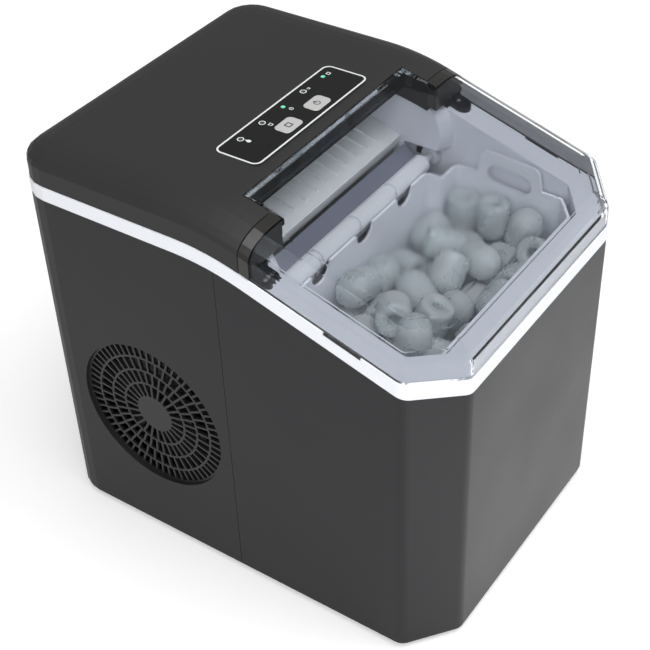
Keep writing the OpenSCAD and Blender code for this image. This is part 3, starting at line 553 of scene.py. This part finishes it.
class ICEMAKER_OT_casing(bpy.types.Operator):
    """Finishes the casing, the cover, the white band and the vents."""

    bl_idname = "icemaker.casing"
    bl_label = "Casing"

    def execute(self, context):
        look = context.scene.icemaker_casing
        shell = plastic("casing plastic", look.shell, 0.42, look.grain, 0.10, 0.03 * MM, ior=1.35)
        cover = plastic("cover plastic", look.cover, 0.48, look.grain, 0.10, 0.03 * MM, ior=1.35)
        band = plastic("band plastic", look.band, 0.35, 0.0006, 0.02, 0.0008 * MM)
        grille = plastic("grille plastic", (0.012, 0.012, 0.013), 0.42, look.grain, 0.2, 0.02 * MM,
                         0.3 * MM)
        rubber = plastic("foot rubber", (0.03, 0.03, 0.03), 0.75, 0.0008, 0.2, 0.05 * MM)
        dress(["front_housing", "rear_housing", "base_tray"], shell)
        dress(["top_cover"], cover)
        dress(["trim_band"], band)
        dress(["vent_grille_left", "vent_grille_right", "cord_inlet"], grille)
        dress(["feet", "drain_plug"], rubber)
        self.grips(grille)
        return {"FINISHED"}

    def grips(self, material):
        """Painted shade: thin black sheets set in the two finger grips that are cut into the top of the
        band, standing for the shade inside them.
        """
        mesh = frame["nodes"]["trim_band"].data
        side = max(v.co.x for v in mesh.vertices)
        wall = [v.co for v in mesh.vertices
                if v.co.x > side - 0.1 * MM and GRIP_FRONT < v.co.y < GRIP_REAR]
        front = min(wall, key=lambda co: (round(co.y, 4), co.z))
        rear = min(wall, key=lambda co: (-round(co.y, 4), co.z))

        def fill(work):
            for sign in (-1, 1):
                ring = []
                for co, inset in ((front, GRIP_INSET), (rear, -GRIP_INSET)):
                    for x, z in ((side - GRIP_SKIN, 0), (side - GRIP_SKIN, GRIP_HEIGHT),
                                 (side - GRIP_DEPTH, GRIP_HEIGHT), (side - GRIP_DEPTH, 0)):
                        ring.append(work.verts.new((sign * x, co.y + inset, co.z + z)))
                for i in range(4):
                    j = (i + 1) % 4
                    work.faces.new((ring[i], ring[j], ring[4 + j], ring[4 + i]))
                work.faces.new(ring[:4])
                work.faces.new(ring[4:])

        make_piece("grip_shade_sheets", "root", material, fill)


class ICEMAKER_OT_lid(bpy.types.Operator):
    """Finishes the clear lid, its black ears and the hinge."""

    bl_idname = "icemaker.lid"
    bl_label = "Lid and hinge"

    def execute(self, context):
        look = context.scene.icemaker_lid
        finish = Finish("smoked clear plastic", transmission_weight=1.0, ior=1.28,
                        specular_tint=(0.45, 0.46, 0.5))
        kit = finish.kit
        marks = finish.effect("Handling marks", Roughness=look.roughness, Amount=0.04, Size=0.05)
        haze = kit.blend(marks["Mask"], look.tint, [channel * 0.97 for channel in look.tint])
        # Painted shade: the base colour goes near black where a ray has already passed one wall and where a
        # wall is met at a glance, for the dark reflections and shade at the lid's edges.
        walls = kit.math("GREATER_THAN", kit.add("LightPath").outputs["Transmission Depth"], 1.5)
        glance = kit.remap(kit.add("LayerWeight", {"Blend": 0.5}).outputs["Facing"], 0.62, 0.85, 0.0, 1.0)
        through = kit.blend(walls, haze, look.far_wall_painted_shade)
        finish.set("Base Color", kit.blend(glance, through, look.glance_painted_shade))
        finish.set("Roughness", kit.math("ADD", marks["Roughness"], self.breath(kit, look)))
        finish.let_lamps_through([math.sqrt(channel) for channel in look.tint])
        dress(["lid"], finish.material)
        black = plastic("ear plastic", context.scene.icemaker_casing.gloss_black, 0.18, 0.0006, 0.2,
                        0.004 * MM, 0.4 * MM)
        dress(["hinge_arm_left", "hinge_arm_right"], black)
        dress(["hinge_bracket_left", "hinge_bracket_right"],
              plastic("bracket plastic", (0.007, 0.008, 0.011), 0.22, 0.0006, 0.1, 0.004 * MM))
        dress(["hinge_pins"], metal("blackened steel", (0.05, 0.05, 0.05)))
        self.screws(metal("screw steel", (0.62, 0.62, 0.64), (1.0, 1.0, 1.0), 900.0))
        return {"FINISHED"}

    def screws(self, material):
        """A domed screw in each lug of the two hinge brackets."""
        for name, lugs in (("hinge_bracket_left", 2), ("hinge_bracket_right", 1)):
            node = frame["nodes"][name]
            low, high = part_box(name)
            outer, inward = (low.x, 1) if "left" in name else (high.x, -1)
            lug = LUG_HALF_WIDTH / lugs
            places = [(outer + inward * (2 * i + 1) * lug, low.y + 1.4 * lug) for i in range(lugs)]

            def fill(work):
                for x, y in places:
                    near = [v.co.z for v in node.data.vertices
                            if math.hypot(v.co.x - x, v.co.y - y) < SCREW_SEARCH]
                    lathe(work, SCREW_DOME, 20, Matrix.Translation((x, y, max(near))))

            make_piece(name + "_screws", node["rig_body"], material, fill)

    def breath(self, kit, look):
        """Thin fog on the lid over the basket, fading out towards its walls."""
        low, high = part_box("ice_basket")
        high.y -= 24 * MM
        middle = (low + high) / 2
        place = kit.add("TexCoord").outputs["Object"]
        arm = kit.add("VectorMath", {0: place, 1: middle}, operation="SUBTRACT").outputs[0]
        parts = kit.add("SeparateXYZ", {0: arm}).outputs
        fog = 1.0
        for axis in (0, 1):
            half = (high[axis] - low[axis]) / 2
            side = kit.math("ABSOLUTE", parts[axis])
            fog = kit.math("MULTIPLY", fog, kit.remap(side, half - 25 * MM, half - 5 * MM, 1.0, 0.0))
        patches = kit.remap(kit.noise(place, 30.0, 3.0), 0.3, 0.7, 0.6, 1.0)
        return kit.math("MULTIPLY", kit.math("MULTIPLY", fog, patches), look.fog)


class ICEMAKER_OT_chamber(bpy.types.Operator):
    """Finishes the tub, the basket, the hood, the paddles and what freezes the ice."""

    bl_idname = "icemaker.chamber"
    bl_label = "Tub and freezing chamber"

    def execute(self, context):
        look = context.scene.icemaker_chamber
        dress(["liner"], plastic("liner plastic", look.liner, 0.38, 0.0007, 0.04, 0.01 * MM))
        dress(["evaporator_hood"], plastic("hood plastic", look.hood, 0.34, 0.0007, 0.04, 0.01 * MM))
        basket = plastic("basket plastic", look.basket, 0.32, 0.0007, 0.04, 0.01 * MM)
        dress(["ice_basket", "water_tray"], basket)
        self.pusher(look)
        self.bead()
        dress(["evaporator"], metal("plated copper", (0.62, 0.60, 0.56)))
        dress(["ice_sensors", "water_pump", "tray_motor"],
              plastic("black fittings", (0.02, 0.02, 0.022), 0.4, 0.0006, 0.2))
        dress(["water_hose"], plastic("silicone hose", (0.55, 0.58, 0.60), 0.3, 0.0006, 0.06))
        return {"FINISHED"}

    def bead(self):
        """A bright rolled bead along the front edge of the hood, in two lengths."""
        mesh = frame["nodes"]["evaporator_hood"].data
        low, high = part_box("evaporator_hood")
        edge = max(v.co.z for v in mesh.vertices if v.co.y < low.y + 0.6 * MM)
        radius = 0.8 * MM

        def fill(work):
            for x0, x1 in ((low.x + radius, -0.4 * MM), (0.4 * MM, high.x - radius)):
                turn = Matrix.Rotation(math.radians(90), 4, "Y")
                lathe(work, [(0.6 * radius, x0), (radius, x0 + radius), (radius, x1 - radius),
                             (0.6 * radius, x1)], 12,
                      Matrix.Translation((0, low.y + radius, edge)) @ turn)

        white = plastic("bead plastic", (0.92, 0.92, 0.95), 0.3, 0.0007, 0.03, 0.004 * MM)
        make_piece("hood_bead", "root", white, fill)

    def pusher(self, look):
        """White heads round the bar, and a gate plate that leans up behind them, painted dark slate blue as
        painted shade.
        """
        axis = next(joint for joint in frame["joints"] if joint["name"] == "pusher_swing")["pos_m"]
        finish = Finish("paddle plastic")
        kit = finish.kit
        place = kit.add("TexCoord").outputs["Object"]
        arm = kit.add("VectorMath", {0: place, 1: axis}, operation="SUBTRACT").outputs[0]
        lean = (0, math.cos(GATE_LEAN), math.sin(GATE_LEAN))
        out = kit.add("VectorMath", {0: arm, 1: lean}, operation="DOT_PRODUCT").outputs["Value"]
        # Painted shade: past the bar the plate turns dark slate blue for the shade it lies in
        gate = kit.remap(out, GATE_START, GATE_FULL, 0.0, 1.0)
        grain = finish.effect("Moulded grain", Colour=kit.blend(gate, look.paddle, look.gate),
                              Cell=0.0007, Roughness=0.35, Drift=0.04)
        finish.set("Base Color", grain["Colour"]).set("Roughness", grain["Roughness"])
        edges = finish.effect("Soft edges", Radius=0.5 * MM)
        finish.bump(grain["Height"], 0.01 * MM, 0.6, edges["Normal"])
        dress(["ice_pusher"], finish.material)


def bullet_profile(radius, length, hollow):
    """Outline of one bullet from the dome's tip round to the top of its hollow."""
    points = []
    for i in range(1, 8):
        a = math.radians(90 * i / 7)
        points.append((radius * math.sin(a), -length / 2 + radius * (1 - math.cos(a))))
    lip = 0.25 * radius
    points.append((radius * 0.985, length / 2 - 1.6 * lip))
    for i in range(1, 5):
        a = math.radians(90 * i / 4)
        points.append((radius * 0.98 - lip * (1 - math.cos(a)), length / 2 - lip + lip * math.sin(a)))
    points.append((hollow * 1.15, length / 2 - 0.1 * lip))
    points.append((hollow * 0.9, length / 2 - 1.2 * lip))
    points.append((hollow * 0.6, length / 2 - 0.55 * length))
    points.append((hollow * 0.2, length / 2 - 0.62 * length))
    return points


def settle(count, low, high, chamfer, notch, radius, length, seed, steps=520):
    """Drops bullets into a box with two cut front corners and two notched rear corners.

    A bullet is two balls at a fixed distance. Each step lets the balls fall a little, then
    pushes apart those that overlap and those that are outside the walls."""
    rng = np.random.default_rng(seed)
    reach = length / 2 - radius
    layers = count / 16.0
    centre = rng.uniform((low[0], low[1], low[2]), (high[0], high[1], low[2] + layers * 2.3 * radius),
                         (count, 3))
    lean = rng.normal(size=(count, 3)) * (1.0, 1.0, 0.55)
    lean /= np.linalg.norm(lean, axis=1)[:, None]
    balls = np.concatenate([centre - lean * reach, centre + lean * reach])
    partner = np.concatenate([np.arange(count, 2 * count), np.arange(count)])
    same = np.zeros((2 * count, 2 * count), bool)
    same[np.arange(2 * count), partner] = True
    same[np.arange(2 * count), np.arange(2 * count)] = True
    cut = math.sqrt(0.5)
    for step in range(steps):
        balls[:, 2] -= 0.0009 * (1 - step / steps) + 0.00005
        for _ in range(3):
            gap = balls[:, None] - balls[None]
            far = np.linalg.norm(gap, axis=2)
            far[same] = 1.0
            push = np.clip(2 * radius - far, 0, None) * 0.45
            balls += np.einsum("ij,ijk->ik", push / np.maximum(far, 1e-6), gap)
            for side in (-1, 1):
                out = side * balls[:, 0] - balls[:, 1] - (high[0] - low[1] - chamfer) + radius / cut
                shift = np.clip(out, 0, None) / 2
                balls[:, 0] -= side * shift
                balls[:, 1] += shift
            past_x = np.abs(balls[:, 0]) - (high[0] - notch[0] - radius)
            past_y = balls[:, 1] - (high[1] - notch[1] - radius)
            within = np.minimum(past_x, past_y) > 0
            by_x = within & (past_x < past_y)
            balls[by_x, 0] -= np.sign(balls[by_x, 0]) * past_x[by_x]
            balls[within & ~by_x, 1] -= past_y[within & ~by_x]
            balls[:, 0] = np.clip(balls[:, 0], low[0] + radius, high[0] - radius)
            balls[:, 1] = np.clip(balls[:, 1], low[1] + radius, high[1] - radius)
            balls[:, 2] = np.maximum(balls[:, 2], low[2] + radius)
            rod = balls[count:] - balls[:count]
            size = np.linalg.norm(rod, axis=1)[:, None]
            fix = rod * (1 - 2 * reach / size) / 2
            balls[:count] += fix
            balls[count:] -= fix
    return (balls[:count] + balls[count:]) / 2, (balls[count:] - balls[:count]) / (2 * reach)


class ICEMAKER_OT_ice(bpy.types.Operator):
    """Heaps the ice bullets in the basket."""

    bl_idname = "icemaker.ice"
    bl_label = "Ice"

    def execute(self, context):
        look = context.scene.icemaker_ice
        low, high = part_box("ice_load")
        edge = ICE_CLEARANCE
        centres, leans = settle(look.count, (low.x + edge, low.y + edge, low.z),
                                (high.x - edge, high.y - edge, high.z), BASKET_CHAMFER, BASKET_NOTCH,
                                look.radius, look.length, look.seed)
        kept = centres[:, 2] + look.radius < high.z + look.heap
        centres, leans = centres[kept], leans[kept]
        rng = np.random.default_rng(look.seed + 1)
        profile = bullet_profile(look.radius, look.length, look.hollow)

        def fill(work):
            for centre, lean in zip(centres, leans):
                axis = Vector(lean)
                turn = axis.to_track_quat("Z", "X").to_matrix().to_4x4()
                spin = Matrix.Rotation(rng.uniform(0, 2 * math.pi), 4, "Z")
                size = Matrix.Diagonal((*rng.uniform(0.93, 1.0, 3), 1.0))
                lathe(work, profile, 18, Matrix.Translation(centre) @ turn @ spin @ size)

        piece = make_piece("ice_heap", "basket", self.material(), fill)
        piece.data.shade_smooth()
        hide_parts("ice_load")
        return {"FINISHED"}

    def material(self):
        finish = Finish("hazy ice", transmission_weight=0.62, ior=1.25)
        kit = finish.kit
        place = kit.add("TexCoord").outputs["Object"]
        cloud = kit.noise(place, 70.0, 3.0, 0.6)
        white = kit.remap(cloud, 0.4, 0.65, 0.0, 1.0)
        finish.set("Base Color", kit.blend(white, (0.86, 0.93, 0.95, 1), (0.96, 0.98, 1.0, 1)))
        finish.set("Roughness", kit.remap(cloud, 0.35, 0.7, 0.22, 0.50))
        finish.bump(kit.noise(place, 220.0, 3.0, 0.55), 0.6 * MM, 0.5)
        return finish.material


class ICEMAKER_OT_panel(bpy.types.Operator):
    """Prints the control panel and finishes its lamps and buttons."""

    bl_idname = "icemaker.panel"
    bl_label = "Control panel"
    LIT = (2, 4)

    def execute(self, context):
        look = context.scene.icemaker_panel
        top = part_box("top_cover")[1].z
        skin = PRINT_SKIN
        lamps = [((low.x + high.x) / 2, (low.y + high.y) / 2) for low, high in islands("lamp_lenses")]
        lamp_y = lamps[0][1]
        button_y = sum(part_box(name)[i].y for name in ("button_left", "button_right") for i in (0, 1)) / 4
        low_y, high_y = button_y - BELOW_BUTTONS, lamp_y + ABOVE_LAMPS
        ink = plastic("white print", look.ink, 0.5, 0.0004, 0.08, 0.004 * MM, 0.05 * MM)

        def frame_line(inset):
            return round_rect(-look.half_width + inset, low_y + inset, look.half_width - inset,
                              high_y - inset, PANEL_CORNER - inset)

        def outline(work):
            plate(work, frame_line(0), top - skin, top + skin, frame_line(look.line))

        make_piece("panel_outline", "root", ink, outline)
        film = plastic("panel film", look.film, 0.40, 0.0006, 0.06, 0.004 * MM, 0.05 * MM, ior=1.25)
        make_piece("panel_film", "root", film, lambda work: plate(
            work, frame_line(look.line / 2), top - skin, top + skin / 3))

        def rings(work):
            for index, (x, y) in enumerate(lamps):
                if index not in self.LIT:
                    plate(work, ring_points(x, y, RING_OUTER), top - skin, top + skin,
                          ring_points(x, y, RING_INNER))

        make_piece("lamp_rings", "root", ink, rings)

        def signs(work):
            # Each sign, how far right of and above its lamp it stands, and its size, in mm
            marks = ((drop_sign, 0.8, -5.2, 1.3), (bin_sign, 1.2, -5.2, 1.35),
                     (power_sign, 1.0, -5.2, 1.35), (cube_sign, 4.6, -0.6, 0.9),
                     (cube_sign, 4.9, -0.6, 1.35))
            for (x, y), (mark, right, up, size) in zip(lamps, marks):
                for shape, hole in mark(x + right * MM, y + up * MM, size * MM):
                    plate(work, shape, top - skin, top + skin, hole)

        make_piece("lamp_signs", "root", ink, signs)
        grey = plastic("grey print", (0.10, 0.10, 0.10), 0.5, 0.0004, 0.08, 0.004 * MM, 0.05 * MM)
        for name, mark in (("button_left", cube_sign), ("button_right", power_sign)):
            low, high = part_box(name)

            def sign(work):
                for shape, hole in mark((low.x + high.x) / 2, (low.y + high.y) / 2, BUTTON_SIGN):
                    plate(work, shape, high.z - skin, high.z + skin, hole)

            make_piece(name + "_sign", name, grey, sign)
        silver = plastic("silver paint", look.silver, 0.34, 0.0003, 0.08, 0.006 * MM, 0.4 * MM, metallic=0.4)
        dress(["button_left", "button_right"], silver)
        dress(["lamp_lenses"], self.lens(look, lamps))
        dress(["control_board"], plastic("board green", (0.02, 0.12, 0.06), 0.4, 0.002, 0.4))
        return {"FINISHED"}

    def lens(self, look, lamps):
        """Dark lenses, of which the lit ones glow."""
        finish = Finish("lamp lens")
        kit = finish.kit
        grain = finish.effect("Moulded grain", Colour=(0.05, 0.06, 0.06), Cell=0.0004,
                              Roughness=0.2, Drift=0.1)
        finish.set("Base Color", grain["Colour"]).set("Roughness", grain["Roughness"])
        across = kit.add("SeparateXYZ", {0: kit.add("TexCoord").outputs["Object"]}).outputs[0]
        glow = 0.0
        for index in self.LIT:
            near = kit.math("ABSOLUTE", kit.math("SUBTRACT", across, lamps[index][0]))
            glow = kit.math("ADD", glow, kit.math("LESS_THAN", near, LAMP_REACH))
        finish.set("Emission Color", look.lit[:])
        finish.set("Emission Strength", kit.math("MULTIPLY", glow, 0.85))
        return finish.material


class ICEMAKER_OT_cooling(bpy.types.Operator):
    """Finishes the compressor, the condenser, the fan and the pipes."""

    bl_idname = "icemaker.cooling"
    bl_label = "Cooling parts"

    def execute(self, context):
        dress(["compressor"], plastic("black enamel", (0.012, 0.012, 0.012), 0.25, 0.002, 0.2))
        dress(["compressor_mounts"], plastic("mount rubber", (0.03, 0.03, 0.03), 0.8, 0.0008, 0.2))
        dress(["condenser"], metal("fin aluminium", (0.75, 0.76, 0.77), (1.0, 1.0, 30.0), 90.0))
        dress(["discharge_pipe", "suction_pipe", "filter_drier"], metal("copper", (0.80, 0.42, 0.27)))
        dress(["fan", "fan_shroud", "fan_motor"],
              plastic("fan plastic", (0.02, 0.02, 0.022), 0.45, 0.0006, 0.2))
        return {"FINISHED"}


class ICEMAKER_OT_studio(bpy.types.Operator):
    """Lays the floor and sets the lamps and the camera."""

    bl_idname = "icemaker.studio"
    bl_label = "Studio"

    def execute(self, context):
        look = context.scene.icemaker_studio
        self.floor(look)
        self.world(context, look)
        self.lamp("key lamp", (-0.98, -0.44, 0.85), 1.2, look.key)
        self.lamp("top lamp", (0.05, -0.55, 1.85), 1.5, look.top)
        self.lamp("fill lamp", (0.95, -1.3, 0.7), 1.4, look.fill)
        self.camera(context, look)
        context.scene.view_settings.view_transform = "Standard"
        return {"FINISHED"}

    def floor(self, look):
        mesh = bpy.data.meshes.new("floor")
        half = FLOOR_HALF
        mesh.from_pydata([(-half, -half, 0), (half, -half, 0), (half, half, 0), (-half, half, 0)],
                         [], [(0, 1, 2, 3)])
        floor = bpy.data.objects.new("floor", mesh)
        bpy.context.scene.collection.objects.link(floor)
        floor.location.z = CAD_LOW.z
        finish = Finish("floor paint", roughness=0.9)
        finish.set("Base Color", look.floor[:])
        kit = finish.kit
        rays = kit.add("LightPath")
        seen = kit.math("MAXIMUM", rays.outputs["Is Camera Ray"], rays.outputs["Is Transmission Ray"])
        place = kit.add("TexCoord").outputs["Object"]
        # Painted reflection: in front of the machine the floor glows for glossy rays only, which paints a
        # sheen on the front of the casing
        toward = kit.add("VectorMath", {0: place, 1: SHEEN_WAY}, operation="DOT_PRODUCT")
        near = kit.remap(toward.outputs["Value"], 0.04, 0.15, 0.0, look.painted_sheen)
        bright = kit.math("MULTIPLY", near, kit.remap(toward.outputs["Value"], 0.2, 0.5, 1.0, 0.2))
        finish.set("Emission Color", (1.0, 1.0, 1.0))
        away = kit.add("VectorMath", {0: place}, operation="LENGTH").outputs["Value"]
        glow = kit.math("ADD", kit.math("MULTIPLY", seen, kit.remap(away, 0.5, 2.2, 0.3, 0.75)),
                        kit.math("MULTIPLY", rays.outputs["Is Glossy Ray"], bright))
        finish.set("Emission Strength", glow)
        mesh.materials.append(finish.material)

    def world(self, context, look):
        world = bpy.data.worlds.new("even light")
        context.scene.world = world
        world.use_nodes = True
        kit = Nodes(world.node_tree)
        background = world.node_tree.nodes["Background"]
        rays = kit.add("LightPath")
        strength = kit.math("MAXIMUM", rays.outputs["Is Camera Ray"], look.sky)
        kit.plug(background, "Color", (1.0, 1.0, 1.0, 1.0))
        kit.plug(background, "Strength", strength)

    def lamp(self, name, place, size, power):
        data = bpy.data.lights.new(name, "AREA")
        data.energy = power
        data.shape = "DISK"
        data.size = size
        lamp = bpy.data.objects.new(name, data)
        bpy.context.scene.collection.objects.link(lamp)
        aim = (CAD_LOW + CAD_HIGH) / 2
        lamp.location = place
        lamp.rotation_euler = (Vector(place) - aim).to_track_quat("Z", "Y").to_euler()

    def camera(self, context, look):
        azimuth, elevation, roll = (math.radians(a) for a in CAMERA_TURN)
        back = Vector((math.sin(azimuth) * math.cos(elevation),
                       -math.cos(azimuth) * math.cos(elevation), math.sin(elevation)))
        right = (-back).cross(Vector((0, 0, 1))).normalized()
        up = right.cross(-back)
        turned_right = math.cos(roll) * right + math.sin(roll) * up
        turned_up = -math.sin(roll) * right + math.cos(roll) * up
        data = bpy.data.cameras.new("camera")
        data.lens = look.lens
        data.sensor_width = 36.0
        data.clip_start = 0.01
        camera = bpy.data.objects.new("camera", data)
        context.scene.collection.objects.link(camera)
        rotation = Matrix((turned_right, turned_up, back)).transposed().to_4x4()
        camera.matrix_world = Matrix.Translation(CAMERA_PLACE) @ rotation
        context.scene.camera = camera


OPERATORS = (ICEMAKER_OT_studio, ICEMAKER_OT_casing, ICEMAKER_OT_lid, ICEMAKER_OT_chamber,
             ICEMAKER_OT_ice, ICEMAKER_OT_panel, ICEMAKER_OT_cooling)
LOOKS = {"icemaker_casing": CasingLook, "icemaker_lid": LidLook, "icemaker_chamber": ChamberLook,
         "icemaker_ice": IceLook, "icemaker_panel": PanelLook, "icemaker_studio": StudioLook}


class ICEMAKER_PT_panel(bpy.types.Panel):
    """Lists the steps and their values."""

    bl_label = "Ice maker"
    bl_idname = "ICEMAKER_PT_panel"
    bl_space_type = "VIEW_3D"
    bl_region_type = "UI"
    bl_category = "Ice maker"

    def draw(self, context):
        for operator in OPERATORS:
            self.layout.operator(operator.bl_idname)
        for name, group in LOOKS.items():
            box = self.layout.box()
            for value in group.__annotations__:
                box.prop(getattr(context.scene, name), value)


def register():
    for group in (*LOOKS.values(), *OPERATORS, ICEMAKER_PT_panel):
        bpy.utils.register_class(group)
    for name, group in LOOKS.items():
        setattr(bpy.types.Scene, name, PointerProperty(type=group))


def unregister():
    for name in LOOKS:
        delattr(bpy.types.Scene, name)
    for group in (ICEMAKER_PT_panel, *OPERATORS, *LOOKS.values()):
        bpy.utils.unregister_class(group)


def main():
    register()
    build_effects()
    for operator in OPERATORS:
        name = operator.bl_idname.split(".")[1]
        getattr(bpy.ops.icemaker, name)()


if __name__ == "__main__":
    main()
